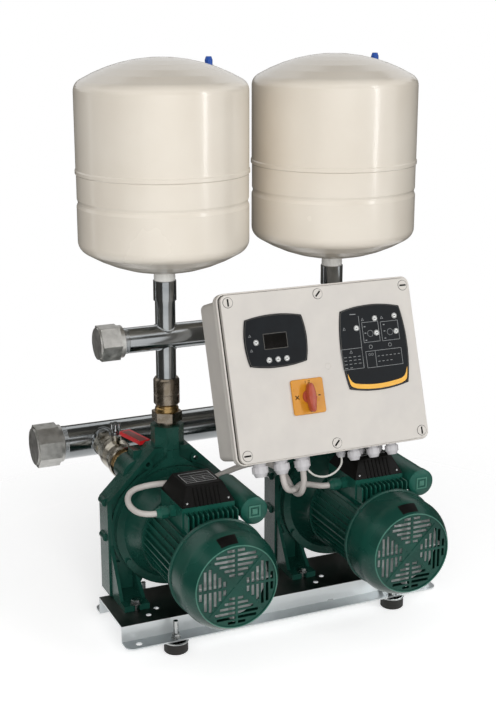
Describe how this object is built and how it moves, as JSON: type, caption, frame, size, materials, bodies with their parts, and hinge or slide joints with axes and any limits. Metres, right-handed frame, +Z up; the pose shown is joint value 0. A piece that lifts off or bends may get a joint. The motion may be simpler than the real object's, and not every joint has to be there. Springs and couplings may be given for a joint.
{
  "type": "booster pump set",
  "caption": "Booster pump set with electric pumps on a steel base, suction and delivery manifolds, membrane tanks, lever valves and a tilted control panel.",
  "frame": {"origin": "middle of the whole set on the floor, under the rubber feet", "axes": "+X along the manifolds to the open pipe ends, +Y to the rear where the suction manifold runs, +Z up"},
  "size_m": [0.666, 0.5476, 0.945],
  "materials": {
    "galvanised_sheet": "galvanised sheet",
    "foot_rubber": "matt",
    "zinc_fasteners": "zinc plated",
    "green_casting": "gloss bottle-green paint",
    "jet_plastic": "moulded",
    "seal_ceramic": "lapped",
    "green_aluminium": "gloss bottle-green paint",
    "winding_stack": "laminations with copper winding heads",
    "bearing_steel": "ground",
    "green_sheet": "gloss bottle-green paint",
    "black_plastic": "satin",
    "green_plastic": "satin",
    "shaft_steel": "turned",
    "impeller_brass": "machined",
    "fan_plastic": "moulded",
    "zinc_pipe": "bright zinc",
    "malleable_iron": "dull galvanised",
    "union_brass": "machined",
    "nickel_brass": "nickel plated",
    "ball_chrome": "polished",
    "lever_red": "dipped coating",
    "valve_bronze": "as cast, sand blasted",
    "disc_plastic": "moulded",
    "tank_enamel": "gloss cream enamel",
    "membrane_rubber": "matt",
    "cap_blue": "gloss",
    "bracket_steel": "zinc plated",
    "panel_plastic": "moulded light grey",
    "keypad_film": "printed film",
    "switch_yellow": "gloss",
    "switch_red": "gloss",
    "gland_grey": "moulded",
    "board_green": "lacquered",
    "key_white": "printed film",
    "cable_sheath": "smooth light grey",
    "sensor_sheath": "smooth white"
  },
  "bodies": {
    "frame": {"base_plate": "galvanised_sheet", "rubber_feet": "foot_rubber", "fasteners": "zinc_fasteners", "pump_casings": "green_casting", "motor_brackets": "green_casting", "ejectors": "jet_plastic", "shaft_seals": "seal_ceramic", "motor_casings": "green_aluminium", "end_shields": "green_aluminium", "terminal_boxes": "green_aluminium", "stators": "winding_stack", "bearings": "bearing_steel", "fan_covers": "green_sheet", "terminal_covers": "black_plastic", "capacitors": "green_plastic", "motor_glands": "green_plastic", "suction_manifold": "zinc_pipe", "delivery_manifold": "zinc_pipe", "riser_pipes": "zinc_pipe", "manifold_caps": "malleable_iron", "brass_unions": "union_brass", "valve_bodies": "nickel_brass", "check_valves": "valve_bronze", "tank_shells": "tank_enamel", "tank_diaphragms": "membrane_rubber", "air_valve_caps": "cap_blue", "panel_bracket": "bracket_steel", "panel_box": "panel_plastic", "panel_lid": "panel_plastic", "lid_screws": "panel_plastic", "keypads": "keypad_film", "switch_plate": "switch_yellow", "cable_glands": "gland_grey", "control_board": "board_green", "left_motor_cable": "cable_sheath", "right_motor_cable": "cable_sheath", "sensor_cable": "sensor_sheath"},
    "left_rotor": {"left_shaft": "shaft_steel", "left_impeller": "impeller_brass", "left_fan": "fan_plastic"},
    "right_rotor": {"right_shaft": "shaft_steel", "right_impeller": "impeller_brass", "right_fan": "fan_plastic"},
    "left_valve": {"left_valve_ball": "ball_chrome", "left_valve_lever": "lever_red"},
    "right_valve": {"right_valve_ball": "ball_chrome", "right_valve_lever": "lever_red"},
    "left_disc": {"left_check_disc": "disc_plastic"},
    "right_disc": {"right_check_disc": "disc_plastic"},
    "main_switch": {"switch_handle": "switch_red"},
    "key_display_1": {"display_key_1": "key_white"},
    "key_display_2": {"display_key_2": "key_white"},
    "key_display_3": {"display_key_3": "key_white"},
    "key_display_4": {"display_key_4": "key_white"},
    "key_pump_1": {"pump_key_1": "key_white"},
    "key_pump_2": {"pump_key_2": "key_white"},
    "key_pump_3": {"pump_key_3": "key_white"},
    "key_pump_4": {"pump_key_4": "key_white"},
    "key_pump_5": {"pump_key_5": "key_white"}
  },
  "joints": [
    {"name": "left_spin", "type": "hinge", "parent": "frame", "child": "left_rotor", "pos_m": [-0.1545, 0, 0.165], "axis": [0, 1, 0], "continuous": true},
    {"name": "right_spin", "type": "hinge", "parent": "frame", "child": "right_rotor", "pos_m": [0.1545, 0, 0.165], "axis": [0, 1, 0], "continuous": true},
    {"name": "left_suction_lever", "type": "hinge", "parent": "frame", "child": "left_valve", "pos_m": [-0.2085, 0.14125, 0.252], "axis": [0, 0, 1], "range_deg": [-13, 77]},
    {"name": "right_suction_lever", "type": "hinge", "parent": "frame", "child": "right_valve", "pos_m": [0.1005, 0.14125, 0.252], "axis": [0, 0, 1], "range_deg": [-13, 77]},
    {"name": "left_check_lift", "type": "slide", "parent": "frame", "child": "left_disc", "axis": [0, 0, 1], "range_m": [0, 0.008], "stiffness_N_per_m": 60, "springref_m": -0.008},
    {"name": "right_check_lift", "type": "slide", "parent": "frame", "child": "right_disc", "axis": [0, 0, 1], "range_m": [0, 0.008], "stiffness_N_per_m": 60, "springref_m": -0.008},
    {"name": "main_switch_turn", "type": "hinge", "parent": "frame", "child": "main_switch", "pos_m": [0.0195, -0.1589, 0.41586], "axis": [0, -0.9472, 0.3206], "range_deg": [0, 90]},
    {"name": "display_key_1_press", "type": "slide", "parent": "frame", "child": "key_display_1", "axis": [0, 0.9472, -0.3206], "range_m": [0, 0.0006], "stiffness_N_per_m": 800},
    {"name": "display_key_2_press", "type": "slide", "parent": "frame", "child": "key_display_2", "axis": [0, 0.9472, -0.3206], "range_m": [0, 0.0006], "stiffness_N_per_m": 800},
    {"name": "display_key_3_press", "type": "slide", "parent": "frame", "child": "key_display_3", "axis": [0, 0.9472, -0.3206], "range_m": [0, 0.0006], "stiffness_N_per_m": 800},
    {"name": "display_key_4_press", "type": "slide", "parent": "frame", "child": "key_display_4", "axis": [0, 0.9472, -0.3206], "range_m": [0, 0.0006], "stiffness_N_per_m": 800},
    {"name": "pump_key_1_press", "type": "slide", "parent": "frame", "child": "key_pump_1", "axis": [0, 0.9472, -0.3206], "range_m": [0, 0.0006], "stiffness_N_per_m": 800},
    {"name": "pump_key_2_press", "type": "slide", "parent": "frame", "child": "key_pump_2", "axis": [0, 0.9472, -0.3206], "range_m": [0, 0.0006], "stiffness_N_per_m": 800},
    {"name": "pump_key_3_press", "type": "slide", "parent": "frame", "child": "key_pump_3", "axis": [0, 0.9472, -0.3206], "range_m": [0, 0.0006], "stiffness_N_per_m": 800},
    {"name": "pump_key_4_press", "type": "slide", "parent": "frame", "child": "key_pump_4", "axis": [0, 0.9472, -0.3206], "range_m": [0, 0.0006], "stiffness_N_per_m": 800},
    {"name": "pump_key_5_press", "type": "slide", "parent": "frame", "child": "key_pump_5", "axis": [0, 0.9472, -0.3206], "range_m": [0, 0.0006], "stiffness_N_per_m": 800}
  ]
}
